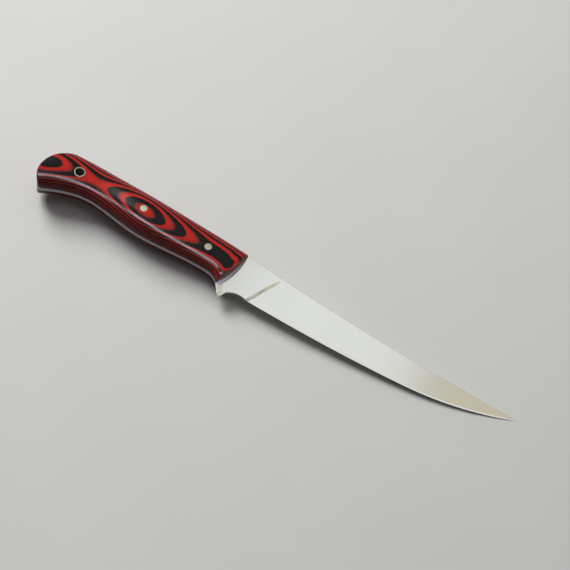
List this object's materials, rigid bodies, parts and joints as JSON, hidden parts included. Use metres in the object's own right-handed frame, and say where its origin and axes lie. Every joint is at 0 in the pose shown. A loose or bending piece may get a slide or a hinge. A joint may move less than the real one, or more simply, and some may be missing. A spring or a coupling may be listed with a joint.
{
  "type": "kitchen knife",
  "caption": "Fixed-blade kitchen knife of the fillet pattern: slim upswept blade with a small finger guard, and crowned red and black laminate scales on a full tang.",
  "frame": {"origin": "under the middle of the knife as it lies on its side: centre of the bounding box in X and Y, lowest point of the lower scale in Z", "axes": "+X along the knife from butt to tip, +Y from the cutting edge to the spine, +Z through the thickness, up as the knife lies"},
  "size_m": [0.28, 0.0358, 0.0212],
  "materials": {
    "blade_steel": "stainless blade steel, satin belt finish along the blade",
    "handle_laminate": "red and black glass-fibre laminate in thin flat layers, sanded to a satin sheen",
    "epoxy_film": "cured epoxy glue line",
    "pin_metal": "nickel silver, ground flush with the scales"
  },
  "bodies": {
    "root": {"blade_with_tang": "blade_steel", "upper_scale": "handle_laminate", "lower_scale": "handle_laminate", "upper_bond": "epoxy_film", "lower_bond": "epoxy_film", "front_pin": "pin_metal", "middle_pin": "pin_metal", "lanyard_tube": "pin_metal"}
  },
  "joints": []
}
